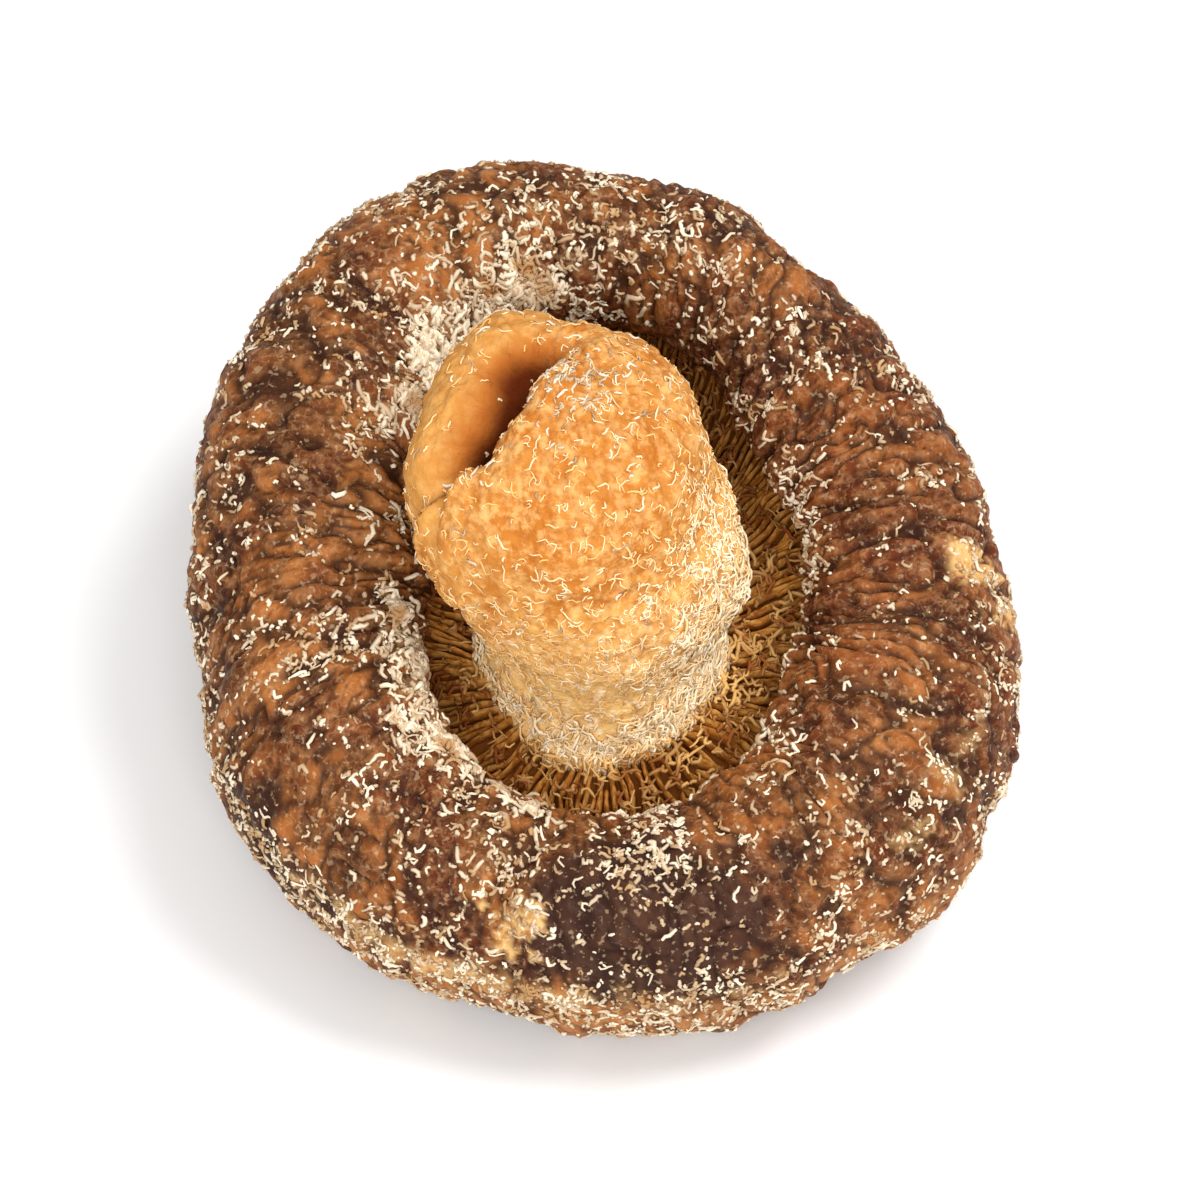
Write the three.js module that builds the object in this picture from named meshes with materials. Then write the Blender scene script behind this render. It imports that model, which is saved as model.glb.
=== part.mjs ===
// One dried shiitake mushroom, lying on the crown of its cap with its stem up. Millimetres, +Z up.
// It grew as one piece, so it is one closed solid: a thick oval cap whose rim has rolled inwards over
// the gills, and a stem that leans and thickens towards its rounded end. The skin is laid out as rings,
// from the middle of the stem's end, down the stem, over the gills and round the rim to the crown.
import * as THREE from 'three';

// The cap, measured at its widest line.
const CAP_HALF_WIDTH = 24.9;
const CAP_HALF_LENGTH = 28.6;
const CROWN_DEPTH = 12.6;
const CROWN_FULLNESS = 2.3;
const CAP_TILT = 16;
const REST_FLAT_DEPTH = 1.1;

// The crown's flesh is thicker in one place, towards the back.
const CROWN_BULGE = 3.2;
const CROWN_BULGE_WIDTH = 19;
const CROWN_BULGE_Y = 10;

// The rolled rim and the mouth that it leaves open. Heights are above the cap's widest line.
const RIM_HEIGHT = 7.4;
const MOUTH_HALF_WIDTH = 12.7;
const MOUTH_HALF_LENGTH = 16.8;
const MOUTH_SHIFT_Y = 0.3;
const MOUTH_STRETCH = 0.09;
const MOUTH_STRETCH_ANGLE = 322;
const LIP_HEIGHT = 2.6;
const CREST_SHARE = 0.47;
const ROLL_TUCK = 62;

// The gills' floor inside the mouth.
const GILL_HEIGHT = -2.4;
const GILL_RISE = 1.2;
const GILL_DIP = 0.5;

// The stem, from its foot on the gills to its rounded end.
const STEM_LENGTH = 17.0;
const STEM_FOOT_X = 0;
const STEM_FOOT_Y = -3.4;
const STEM_FOOT_RADIUS = 6.2;
const STEM_FOOT_FLARE = 0.9;
const STEM_MIDDLE_HALF_WIDTH = 8.7;
const STEM_END_HALF_WIDTH = 8.4;
const STEM_END_HALF_DEPTH = 8.6;
const STEM_LEAN_BACK = 19;
const STEM_LEAN_LEFT = 8;
const STEM_END_CROWN = 6.2;
const STEM_END_SLOPE_X = -0.08;
const STEM_END_SLOPE_Y = 0.2;
const STEM_BEAK = 0.23;
const STEM_BEAK_ANGLE = 205;
const STEM_WAIST = 0.12;
const STEM_WAIST_ANGLE = 190;
const STEM_BULGE = 0.15;
const STEM_BULGE_ANGLE = 345;
const STEM_BACK_LOBE = 0.13;
const STEM_BACK_LOBE_ANGLE = 112;

// The folded hollow in the stem's end: a furrow from the back of the end towards its left edge.
const FURROW_FROM = new THREE.Vector2(-0.9, 3.0);
const FURROW_TO = new THREE.Vector2(-4.4, -3.0);
const FURROW_DEPTH = 2.9;
const FURROW_WIDTH = 1.8;

// How finely the skin is divided.
const SEGMENTS = 64;
const END_RINGS = 7;
const SHANK_RINGS = 9;
const GILL_RINGS = 3;
const TUCK_RINGS = 3;
const INNER_ROLL_RINGS = 6;
const OUTER_ROLL_RINGS = 6;
const CROWN_RINGS = 11;

const DRIED_FLESH = new THREE.MeshStandardMaterial({ color: 0x7a4f2e, roughness: 0.8, metalness: 0 });

const radians = THREE.MathUtils.degToRad;

// Distance from the middle of an oval to its edge in the direction of angle.
function ovalRadius(halfWidth, halfLength, angle) {
  return 1 / Math.hypot(Math.cos(angle) / halfWidth, Math.sin(angle) / halfLength);
}

// A soft swelling of an outline: `count` of them go round it, the first at `degrees`.
function lobe(angle, count, degrees) {
  return Math.cos(count * (angle - radians(degrees)));
}

// The cap's outline is an egg, flattened on its right back quarter.
function capRadius(angle) {
  const egg = 0.052 * lobe(angle, 2, 136) + 0.04 * lobe(angle, 1, 232) + 0.026 * lobe(angle, 3, 104);
  const corners = 0.018 * lobe(angle, 4, 45) + 0.006 * lobe(angle, 7, 20);
  return ovalRadius(CAP_HALF_WIDTH, CAP_HALF_LENGTH, angle) * (1 + egg + corners);
}

function mouthRadius(angle) {
  const lumps = 0.02 * lobe(angle, 3, 250) + 0.02 * lobe(angle, 5, 10) + 0.03 * lobe(angle, 2, 100);
  const stretch = MOUTH_STRETCH * Math.max(0, lobe(angle, 1, MOUTH_STRETCH_ANGLE)) ** 2;
  return ovalRadius(MOUTH_HALF_WIDTH, MOUTH_HALF_LENGTH, angle) * (1 + lumps + stretch)
    + MOUTH_SHIFT_Y * Math.sin(angle);
}

function rimHeight(angle) {
  return RIM_HEIGHT + 0.6 * lobe(angle, 2, 100) + 0.45 * lobe(angle, 3, 200) + 0.25 * lobe(angle, 7, 60);
}

// A point of the rolled rim's section: turn 0 is the widest line, 90 the crest, 180 the lip, and
// beyond that the edge is tucked under, down to the gills.
function rollPoint(angle, turn) {
  const outer = capRadius(angle);
  const lip = mouthRadius(angle);
  const crest = lip + (outer - lip) * CREST_SHARE;
  const across = Math.cos(radians(turn));
  const up = Math.sin(radians(turn));
  const radius = crest + across * (across > 0 ? outer - crest : crest - lip);
  let height = rimHeight(angle) * up;
  if (turn > 90) {
    height = LIP_HEIGHT + (up > 0 ? rimHeight(angle) - LIP_HEIGHT : LIP_HEIGHT - GILL_HEIGHT) * up;
  }
  return new THREE.Vector3(radius * Math.cos(angle), radius * Math.sin(angle), height);
}

// The crown: a full dome below the widest line. Share 0 is that line and 1 the crown's middle.
function crownPoint(angle, share) {
  const turn = radians(90 * share);
  const inwards = Math.cos(turn) ** (2 / CROWN_FULLNESS);
  const down = Math.sin(turn) ** (2 / CROWN_FULLNESS);
  const radius = capRadius(angle) * inwards;
  const x = radius * Math.cos(angle);
  const y = radius * Math.sin(angle);
  const fromBulge = Math.hypot(x, y - CROWN_BULGE_Y) / CROWN_BULGE_WIDTH;
  const bulge = CROWN_BULGE * Math.exp(-(fromBulge ** 2)) * down;
  return new THREE.Vector3(x, y, -CROWN_DEPTH * down - bulge);
}

// The stem's section at a share of its length: where its middle is, and how far it has turned from
// level to lie square to the stem's own line.
function stemSection(share) {
  const back = radians(STEM_LEAN_BACK);
  const left = radians(STEM_LEAN_LEFT);
  const along = new THREE.Vector3(-Math.sin(left), Math.sin(back), Math.cos(back)).normalize();
  const middle = new THREE.Vector3(STEM_FOOT_X, STEM_FOOT_Y, GILL_HEIGHT + GILL_RISE)
    .addScaledVector(along, share * STEM_LENGTH);
  const square = new THREE.Quaternion().setFromUnitVectors(new THREE.Vector3(0, 0, 1), along);
  return { middle, facing: new THREE.Quaternion().slerp(square, Math.min(1, share * 1.6)) };
}

function stemRadius(angle, share) {
  const widening = THREE.MathUtils.smoothstep(share, -0.1, 0.65);
  const narrowing = THREE.MathUtils.smoothstep(share, 0.6, 1);
  const flare = STEM_FOOT_FLARE * Math.exp(-share * 9);
  const middleWidth = THREE.MathUtils.lerp(STEM_FOOT_RADIUS, STEM_MIDDLE_HALF_WIDTH, widening);
  const halfWidth = middleWidth - (STEM_MIDDLE_HALF_WIDTH - STEM_END_HALF_WIDTH) * narrowing + flare;
  const halfDepth = THREE.MathUtils.lerp(STEM_FOOT_RADIUS, STEM_END_HALF_DEPTH, widening) + flare;
  const towards = (degrees) => Math.max(0, lobe(angle, 1, degrees));
  const nearEnd = Math.exp(-(((share - 0.95) / 0.34) ** 2));
  const halfway = Math.exp(-(((share - 0.4) / 0.24) ** 2));
  const beak = STEM_BEAK * nearEnd * towards(STEM_BEAK_ANGLE) ** 7;
  const waist = STEM_WAIST * halfway * towards(STEM_WAIST_ANGLE) ** 2;
  const bulge = STEM_BULGE * halfway * towards(STEM_BULGE_ANGLE) ** 2;
  const lateness = THREE.MathUtils.smoothstep(share, 0.5, 1);
  const backLobe = STEM_BACK_LOBE * lateness * towards(STEM_BACK_LOBE_ANGLE) ** 3;
  const lumps = 0.03 * lobe(angle, 3, 20) + 0.02 * lobe(angle, 5, 50 + 60 * share);
  return ovalRadius(halfWidth, halfDepth, angle) * (1 + beak + bulge + backLobe - waist + lumps);
}

function stemPoint(angle, share) {
  const { middle, facing } = stemSection(share);
  const x = stemRadius(angle, share) * Math.cos(angle);
  const y = stemRadius(angle, share) * Math.sin(angle);
  const slope = (STEM_END_SLOPE_X * x + STEM_END_SLOPE_Y * y) * share ** 2;
  return new THREE.Vector3(x, y, slope).applyQuaternion(facing).add(middle);
}

// How deep the furrow presses the stem's end at (x, y).
function furrowDepth(x, y) {
  const nearest = new THREE.Vector2();
  const line = new THREE.Vector2().subVectors(FURROW_TO, FURROW_FROM);
  const offset = new THREE.Vector2(x, y).sub(FURROW_FROM);
  const share = THREE.MathUtils.clamp(offset.dot(line) / line.lengthSq(), 0, 1);
  const distance = nearest.copy(line).multiplyScalar(share).distanceTo(offset);
  return FURROW_DEPTH * Math.exp(-((distance / FURROW_WIDTH) ** 2));
}

// The stem's end: a rounded cushion with the furrow pressed into it. Share 1 is its edge.
function stemEndPoint(angle, share) {
  const { middle, facing } = stemSection(1);
  const radius = stemRadius(angle, 1) * share;
  const x = radius * Math.cos(angle);
  const y = radius * Math.sin(angle);
  const cushion = STEM_END_CROWN * (1 - share ** 2.2) ** 0.6;
  const furrow = furrowDepth(x, y) * (1 - share ** 6);
  const height = STEM_END_SLOPE_X * x + STEM_END_SLOPE_Y * y + cushion - furrow;
  return new THREE.Vector3(x, y, height).applyQuaternion(facing).add(middle);
}

// The gills' floor, from the stem's foot (share 0) to where the rim is tucked in (share 1).
function gillPoint(angle, share) {
  const edge = rollPoint(angle, 180 + ROLL_TUCK);
  const point = new THREE.Vector3().lerpVectors(stemPoint(angle, 0), edge, share);
  point.z -= GILL_DIP * Math.sin(Math.PI * share);
  return point;
}

// Every ring as a function of the angle round the mushroom, in order over the skin.
function skinRings() {
  const rings = [];
  for (let i = 1; i < END_RINGS; i += 1) {
    rings.push((angle) => stemEndPoint(angle, i / END_RINGS));
  }
  for (let i = SHANK_RINGS; i >= 0; i -= 1) {
    rings.push((angle) => stemPoint(angle, i / SHANK_RINGS));
  }
  for (let i = 1; i < GILL_RINGS; i += 1) {
    rings.push((angle) => gillPoint(angle, i / GILL_RINGS));
  }
  for (let i = 0; i < TUCK_RINGS; i += 1) {
    rings.push((angle) => rollPoint(angle, 180 + ROLL_TUCK * (1 - i / TUCK_RINGS)));
  }
  for (let i = 0; i < INNER_ROLL_RINGS; i += 1) {
    rings.push((angle) => rollPoint(angle, 180 - 90 * i / INNER_ROLL_RINGS));
  }
  for (let i = 0; i < OUTER_ROLL_RINGS; i += 1) {
    rings.push((angle) => rollPoint(angle, 90 - 90 * i / OUTER_ROLL_RINGS));
  }
  for (let i = 0; i < CROWN_RINGS; i += 1) {
    rings.push((angle) => crownPoint(angle, i / CROWN_RINGS));
  }
  return rings;
}

// The whole skin's points: the middle of the stem's end, the rings, and the middle of the crown.
function skinPoints(rings) {
  const points = [stemEndPoint(0, 0)];
  for (const ring of rings) {
    for (let i = 0; i < SEGMENTS; i += 1) {
      points.push(ring(2 * Math.PI * i / SEGMENTS));
    }
  }
  points.push(crownPoint(0, 1));
  return points;
}

// Triangles between neighbouring rings, and a fan at each of the two middles, facing outwards.
function skinTriangles(ringCount) {
  const triangles = [];
  const at = (ring, i) => 1 + ring * SEGMENTS + (i % SEGMENTS);
  const crownMiddle = 1 + ringCount * SEGMENTS;
  for (let i = 0; i < SEGMENTS; i += 1) {
    triangles.push(0, at(0, i), at(0, i + 1));
    for (let ring = 0; ring < ringCount - 1; ring += 1) {
      triangles.push(at(ring, i), at(ring + 1, i), at(ring + 1, i + 1));
      triangles.push(at(ring, i), at(ring + 1, i + 1), at(ring, i + 1));
    }
    triangles.push(at(ringCount - 1, i), crownMiddle, at(ringCount - 1, i + 1));
  }
  return triangles;
}

// The cap leans forward as it lies, and is pressed flat where it rests. The origin is then put under
// the middle of the whole mushroom, on the surface that it rests on.
function settle(points) {
  const lean = new THREE.Matrix4().makeRotationX(radians(CAP_TILT));
  points.forEach((point) => point.applyMatrix4(lean));
  const resting = new THREE.Box3().setFromPoints(points).min.z + REST_FLAT_DEPTH;
  points.forEach((point) => {
    point.z = Math.max(point.z, resting);
  });
  const box = new THREE.Box3().setFromPoints(points);
  const middle = box.getCenter(new THREE.Vector3());
  middle.z = resting;
  points.forEach((point) => point.sub(middle));
}

function driedShiitake() {
  const rings = skinRings();
  const points = skinPoints(rings);
  settle(points);
  const geometry = new THREE.BufferGeometry().setFromPoints(points);
  geometry.setIndex(skinTriangles(rings.length));
  geometry.computeVertexNormals();
  const mushroom = new THREE.Mesh(geometry, DRIED_FLESH);
  mushroom.name = 'dried_shiitake';
  return mushroom;
}

const model = new THREE.Group();
model.add(driedShiitake());

export default model;
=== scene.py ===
import bpy
import numpy as np
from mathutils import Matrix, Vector


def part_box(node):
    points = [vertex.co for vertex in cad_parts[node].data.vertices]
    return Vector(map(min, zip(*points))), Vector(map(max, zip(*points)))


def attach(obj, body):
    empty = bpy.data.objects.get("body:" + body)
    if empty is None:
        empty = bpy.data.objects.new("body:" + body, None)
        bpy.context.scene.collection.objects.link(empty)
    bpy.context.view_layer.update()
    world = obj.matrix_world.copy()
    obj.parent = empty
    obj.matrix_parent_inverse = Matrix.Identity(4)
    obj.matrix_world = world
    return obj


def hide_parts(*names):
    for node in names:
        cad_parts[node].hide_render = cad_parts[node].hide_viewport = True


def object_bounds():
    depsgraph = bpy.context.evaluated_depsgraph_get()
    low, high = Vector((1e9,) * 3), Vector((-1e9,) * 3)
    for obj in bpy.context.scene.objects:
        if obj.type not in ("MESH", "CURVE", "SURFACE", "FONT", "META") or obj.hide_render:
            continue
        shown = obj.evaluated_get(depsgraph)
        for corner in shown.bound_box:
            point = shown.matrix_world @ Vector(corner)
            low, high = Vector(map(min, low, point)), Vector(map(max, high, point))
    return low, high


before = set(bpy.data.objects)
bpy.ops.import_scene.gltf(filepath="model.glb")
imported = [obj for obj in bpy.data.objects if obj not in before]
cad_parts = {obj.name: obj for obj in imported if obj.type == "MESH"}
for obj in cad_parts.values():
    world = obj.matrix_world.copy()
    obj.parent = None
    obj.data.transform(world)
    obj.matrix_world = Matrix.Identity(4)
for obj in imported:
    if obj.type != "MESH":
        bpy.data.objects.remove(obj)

cad_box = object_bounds()

# ---------------------------------------------------------------------------------------------
# The cap. A thick oval cushion of dried flesh under a leathery brown skin. As it dried, its rim
# rolled in over the gills and the skin shrank into wrinkles that run across the roll. The mushroom
# lies on the cap's crown, so the gills and the stem face up.
# Sizes are millimetres and degrees in the cap's own frame: +Z up the stem, heights from the widest line.
CAP_HALF_WIDTH = 24.9
CAP_HALF_LENGTH = 28.6
CROWN_DEPTH = 12.6
CROWN_FULLNESS = 2.3
CROWN_BULGE = 3.2
CROWN_BULGE_WIDTH = 19
CROWN_BULGE_Y = 10
CAP_TILT = 16
REST_FLAT_DEPTH = 1.1
RIM_HEIGHT = 7.4
MOUTH_HALF_WIDTH = 12.7
MOUTH_HALF_LENGTH = 16.8
MOUTH_SHIFT_Y = 0.3
MOUTH_STRETCH = 0.09
MOUTH_STRETCH_ANGLE = 322
LIP_HEIGHT = 2.6
CREST_SHARE = 0.47
ROLL_TUCK = 62
GILL_HEIGHT = -2.4


def oval_radius(half_width, half_length, angle):
    return 1 / np.hypot(np.cos(angle) / half_width, np.sin(angle) / half_length)


def lobe(angle, count, degrees):
    """A soft swelling of an outline: `count` of them go round it, the first at `degrees`."""
    return np.cos(count * (angle - np.radians(degrees)))


def bump(value, middle, width):
    """1 at the middle, falling softly to 0 over about twice the width."""
    return np.exp(-(((value - middle) / width) ** 2))


def turn_away(angle, degrees):
    """How far round the mushroom an angle is from a direction, in degrees from -180 to 180."""
    return np.angle(np.exp(1j * (angle - np.radians(degrees))), deg=True)


def turn_bump(angle, degrees, width):
    """A bump round the mushroom, with the width in degrees."""
    return bump(turn_away(angle, degrees), 0, width)


def soft_step(low, high, value):
    share = np.clip((value - low) / (high - low), 0, 1)
    return share * share * (3 - 2 * share)


def scatter_hash(cells, seed):
    """A repeatable random number from 0 to 1 for each whole-number cell."""
    mixed = np.uint32(seed * 2654435761 % 4294967296)
    for axis, factor in enumerate((374761393, 668265263, 2246822519)):
        mixed = (mixed + cells[..., axis].astype(np.int64).astype(np.uint32) * np.uint32(factor))
        mixed = (mixed ^ (mixed >> np.uint32(15))) * np.uint32(2246822519)
    mixed = (mixed ^ (mixed >> np.uint32(13))) * np.uint32(3266489917)
    return ((mixed ^ (mixed >> np.uint32(16))) / 4294967295.0)


def swell(points, size, seed):
    """Smooth random relief through space, about -1 to 1, with swells `size` apart."""
    scaled = np.asarray(points, float) / size
    cell = np.floor(scaled)
    inside = scaled - cell
    fade = inside**3 * (inside * (inside * 6 - 15) + 10)
    total = np.zeros(scaled.shape[:-1])
    for corner in np.ndindex(2, 2, 2):
        offset = np.array(corner)
        share = np.prod(np.where(offset == 1, fade, 1 - fade), axis=-1)
        height = scatter_hash(cell + offset, seed) * 2 - 1
        slope_x = scatter_hash(cell + offset, seed + 101) * 2 - 1
        slope_y = scatter_hash(cell + offset, seed + 211) * 2 - 1
        toward = inside - offset
        total += share * (0.55 * height + 1.3 * slope_x * toward[..., 0] + 1.3 * slope_y * toward[..., 1])
    return total


def swells(points, size, seed, layers=3, fall=0.5):
    """Several swells, each half the size of the last and `fall` times its height."""
    total = 0
    for layer in range(layers):
        total = total + fall**layer * swell(points, size / 2**layer, seed + 17 * layer)
    return total


def cap_radius(angle):
    egg = 0.052 * lobe(angle, 2, 136) + 0.04 * lobe(angle, 1, 232) + 0.026 * lobe(angle, 3, 104)
    corners = 0.018 * lobe(angle, 4, 45) + 0.006 * lobe(angle, 7, 20)
    return oval_radius(CAP_HALF_WIDTH, CAP_HALF_LENGTH, angle) * (1 + egg + corners)


def mouth_radius(angle):
    lumps = 0.02 * lobe(angle, 3, 250) + 0.02 * lobe(angle, 5, 10) + 0.03 * lobe(angle, 2, 100)
    stretch = MOUTH_STRETCH * np.maximum(0, lobe(angle, 1, MOUTH_STRETCH_ANGLE)) ** 2
    even = oval_radius(MOUTH_HALF_WIDTH, MOUTH_HALF_LENGTH, angle) * (1 + lumps + stretch)
    return even + MOUTH_SHIFT_Y * np.sin(angle)


def rim_height(angle):
    return RIM_HEIGHT + 0.6 * lobe(angle, 2, 100) + 0.45 * lobe(angle, 3, 200) + 0.25 * lobe(angle, 7, 60)


def round_points(radius, angle, height):
    return np.stack([radius * np.cos(angle), radius * np.sin(angle), height + 0 * radius], axis=-1)


def roll_points(angle, turn):
    """The rolled rim: turn 0 is the widest line, 90 the crest, 180 the lip, and beyond it the tuck."""
    outer = cap_radius(angle)
    lip = mouth_radius(angle)
    crest = lip + (outer - lip) * CREST_SHARE
    across = np.cos(np.radians(turn))
    up = np.sin(np.radians(turn))
    radius = crest + across * np.where(across > 0, outer - crest, crest - lip)
    inner_height = np.where(up > 0, rim_height(angle) - LIP_HEIGHT, LIP_HEIGHT - GILL_HEIGHT)
    height = np.where(turn > 90, LIP_HEIGHT + inner_height * up, rim_height(angle) * up)
    return round_points(radius, angle, height)


def crown_points(angle, share):
    """The crown: share 0 is the widest line and 1 the crown's middle."""
    inwards = np.cos(np.radians(90 * share)) ** (2 / CROWN_FULLNESS)
    down = np.sin(np.radians(90 * share)) ** (2 / CROWN_FULLNESS)
    points = round_points(cap_radius(angle) * inwards, angle, -CROWN_DEPTH * down)
    away = np.hypot(points[..., 0], points[..., 1] - CROWN_BULGE_Y) / CROWN_BULGE_WIDTH
    points[..., 2] -= CROWN_BULGE * np.exp(-(away**2)) * down
    return points


def as_it_lies(points):
    """Leans the cap's own frame forward, as the mushroom lies."""
    lean = np.radians(CAP_TILT)
    x, y, z = np.moveaxis(np.asarray(points, float), -1, 0)
    return np.stack([x, y * np.cos(lean) - z * np.sin(lean), y * np.sin(lean) + z * np.cos(lean)], axis=-1)


CAP_COLUMNS = 576
FLOOR_ROWS = 12
TUCK_ROWS = 10
INNER_ROWS = 36
OUTER_ROWS = 46
CROWN_ROWS = 64

around = np.linspace(0, 2 * np.pi, CAP_COLUMNS, endpoint=False)


def cap_rows():
    """The smooth cap, row by row from the middle of the gills' floor to the middle of the crown."""
    edge = roll_points(around, 180 + ROLL_TUCK)
    middle = np.array([0, 0, GILL_HEIGHT])
    floor = [middle + (edge - middle) * share for share in np.linspace(0.02, 1, FLOOR_ROWS, endpoint=False)]
    turns = np.concatenate([np.linspace(180 + ROLL_TUCK, 180, TUCK_ROWS, endpoint=False),
                            np.linspace(180, 90, INNER_ROWS, endpoint=False),
                            np.linspace(90, 0, OUTER_ROWS, endpoint=False)])
    roll = [roll_points(around, turn) for turn in turns]
    crown = [crown_points(around, share) for share in np.linspace(0, 0.985, CROWN_ROWS)]
    return np.array(floor + roll + crown)


def facing(rows):
    """The outward direction at every point of a skin laid out in rows, and its spacing down and around."""
    down = np.gradient(rows, axis=0)
    across = (np.roll(rows, -1, axis=1) - np.roll(rows, 1, axis=1)) / 2
    outward = np.cross(down, across)
    outward /= np.linalg.norm(outward, axis=-1, keepdims=True) + 1e-12
    return outward, np.linalg.norm(down, axis=-1), np.linalg.norm(across, axis=-1)


cap_smooth = cap_rows()
cap_outward, _, _ = facing(cap_smooth)
LIP_ROW = FLOOR_ROWS + TUCK_ROWS
CREST_ROW = LIP_ROW + INNER_ROWS
WIDEST_ROW = CREST_ROW + OUTER_ROWS
steps = np.linalg.norm(np.diff(cap_smooth, axis=0), axis=-1).mean(axis=1)
down_skin = np.concatenate([[0], np.cumsum(steps)])
from_lip = (down_skin - down_skin[LIP_ROW])[:, None] + 0 * around[None, :]
turning = around[None, :] + 0 * from_lip
CREST_AT = from_lip[CREST_ROW, 0]
WIDEST_AT = from_lip[WIDEST_ROW, 0]


def across_roll(spacing, stretch, radius=21):
    """Places in which the swells are `spacing` apart round the rim and `stretch` times longer across it."""
    warp = 1.5 * swell(cap_smooth, 5.0, 3) + 0.45 * swell(cap_smooth, 1.6, 4)
    return np.stack([radius * np.cos(turning) / spacing + warp, radius * np.sin(turning) / spacing + warp,
                     from_lip / (spacing * stretch) + 0.6 * warp], axis=-1)


def creases(places, size, seed, width):
    """Sharp narrow valleys between rounded cushions: 0 along the valley lines, 1 on the cushions."""
    return np.minimum(np.abs(swell(places, size, seed)) / width, 1) ** 0.7


# Relief of the skin, in millimetres outwards: broad lumps, folds across the roll, strongest on its left and
# right, and leathery pebbles. The finest lines of a real skin lie closer together than this mesh can hold,
# so they are drawn coarser, 0.75 mm apart.
FOLD_SPACING, FOLD_HEIGHT = 1.95, 0.7
FINE_FOLD_SPACING, FINE_FOLD_HEIGHT = 1.0, 0.28
HAIR_LINE_SPACING, HAIR_LINE_HEIGHT = 0.75, 0.07
PEBBLE_SIZE, PEBBLE_HEIGHT = 1.35, 0.14
on_skin = soft_step(-2.5, 0.5, from_lip)
on_crown = soft_step(WIDEST_AT + 1, WIDEST_AT + 7, from_lip)
lumps = 0.6 * swells(cap_smooth, 9.0, 11, 2) + 0.34 * swells(cap_smooth, 3.4, 12, 2)
wrinkled = 0.55 + 0.6 * turn_bump(turning, 0, 55) + 0.4 * turn_bump(turning, 170, 50)
wrinkled = wrinkled * (1 - 0.45 * on_crown) * (1 - 0.35 * bump(from_lip, WIDEST_AT - 2, 5)) * on_skin
folds = creases(across_roll(FOLD_SPACING, 3.0), 1, 21, 0.42)
fine_folds = creases(across_roll(FINE_FOLD_SPACING, 2.8), 1, 22, 0.36)
hair_lines = creases(across_roll(HAIR_LINE_SPACING, 4.0), 1, 23, 0.3)
pebbles = creases(cap_smooth + 0.3 * swell(cap_smooth, 1.3, 32)[..., None], PEBBLE_SIZE, 31, 0.3)
all_folds = FOLD_HEIGHT * folds + FINE_FOLD_HEIGHT * fine_folds + HAIR_LINE_HEIGHT * hair_lines
relief = on_skin * lumps + wrinkled * all_folds
relief += (0.3 + 0.7 * on_skin) * (PEBBLE_HEIGHT * pebbles + 0.04 * swells(cap_smooth, 0.9, 33, 2))

# A pinch in front, where the roll is folded.
PINCH_TURN = 259
PINCH_DEPTH = 0.8
pinch_line = PINCH_TURN + 3 * np.sin(from_lip / 2.2)
pinch = turn_bump(turning, pinch_line, 1.7) * soft_step(1, 3, from_lip) * (1 - soft_step(12, 16, from_lip))
relief -= PINCH_DEPTH * pinch

# Underneath, the crown has dried cracks and patches where its outer skin is gone.
crack_lines = np.abs(swell(cap_smooth, 15.0, 41) + 0.25 * swell(cap_smooth, 2.6, 42))
cracks = (1 - soft_step(0.02, 0.07, crack_lines)) * soft_step(WIDEST_AT + 3, WIDEST_AT + 8, from_lip)
patches = swells(cap_smooth, 11.0, 43) + 0.1 * swell(cap_smooth, 1.0, 44)
torn_patches = soft_step(0.6, 0.7, patches) * soft_step(WIDEST_AT + 4, WIDEST_AT + 9, from_lip)


def torn_spot(degrees, below_lip, size, stretch):
    """A ragged spot where the outer skin is gone, `size` mm from its middle to its edge. A stretch over 1
    makes it wider round the rim, and one under 1 makes it longer down the rim."""
    around_spot = np.hypot(0.45 * turn_away(turning, degrees) / stretch, (from_lip - below_lip) * stretch)
    ragged_edge = around_spot + 1.3 * swells(cap_smooth, 2.0, 44, 4, 0.8)
    return soft_step(size + 0.25, size - 0.25, ragged_edge)


# A small tear at the foot of the pinch bares the pale flesh.
tear_spot = torn_spot(PINCH_TURN + 0.5, CREST_AT + 4.3, 1.7, 0.9)

# A ragged strip has peeled down the right side. It is widest at its top.
STRIP_TURN = 358
STRIP_TOP = CREST_AT + 3
off_strip = 0.42 * np.abs(turn_away(turning, STRIP_TURN - 0.9 * (from_lip - STRIP_TOP)))
off_strip += 0.14 * (from_lip - STRIP_TOP) + 1.3 * swells(cap_smooth, 1.9, 48, 4, 0.8)
side_tear = soft_step(1.7, 1.3, off_strip) * soft_step(STRIP_TOP - 0.5, STRIP_TOP + 0.2, from_lip)
side_tear *= 1 - soft_step(CREST_AT + 9, CREST_AT + 11, from_lip)

# The lower front edge is rubbed down to crumbly tan flesh.
crumbly_edge = turn_bump(turning, 252, 42) * bump(from_lip, WIDEST_AT - 2, 1.8)
crumbly_edge += 0.8 * turn_bump(turning, 325, 22) * bump(from_lip, WIDEST_AT - 5.5, 1.6)
crumbly_edge = soft_step(0.55, 1.1, crumbly_edge + 0.5 * swells(cap_smooth, 1.7, 49, 3, 0.8))
bare = np.clip(cracks + torn_patches + tear_spot + side_tear + 0.7 * crumbly_edge, 0, 1)
relief -= 0.35 * bare * on_crown
relief += 0.25 * bare * (1 - on_crown) * creases(cap_smooth, 0.9, 45, 0.4)

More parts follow.
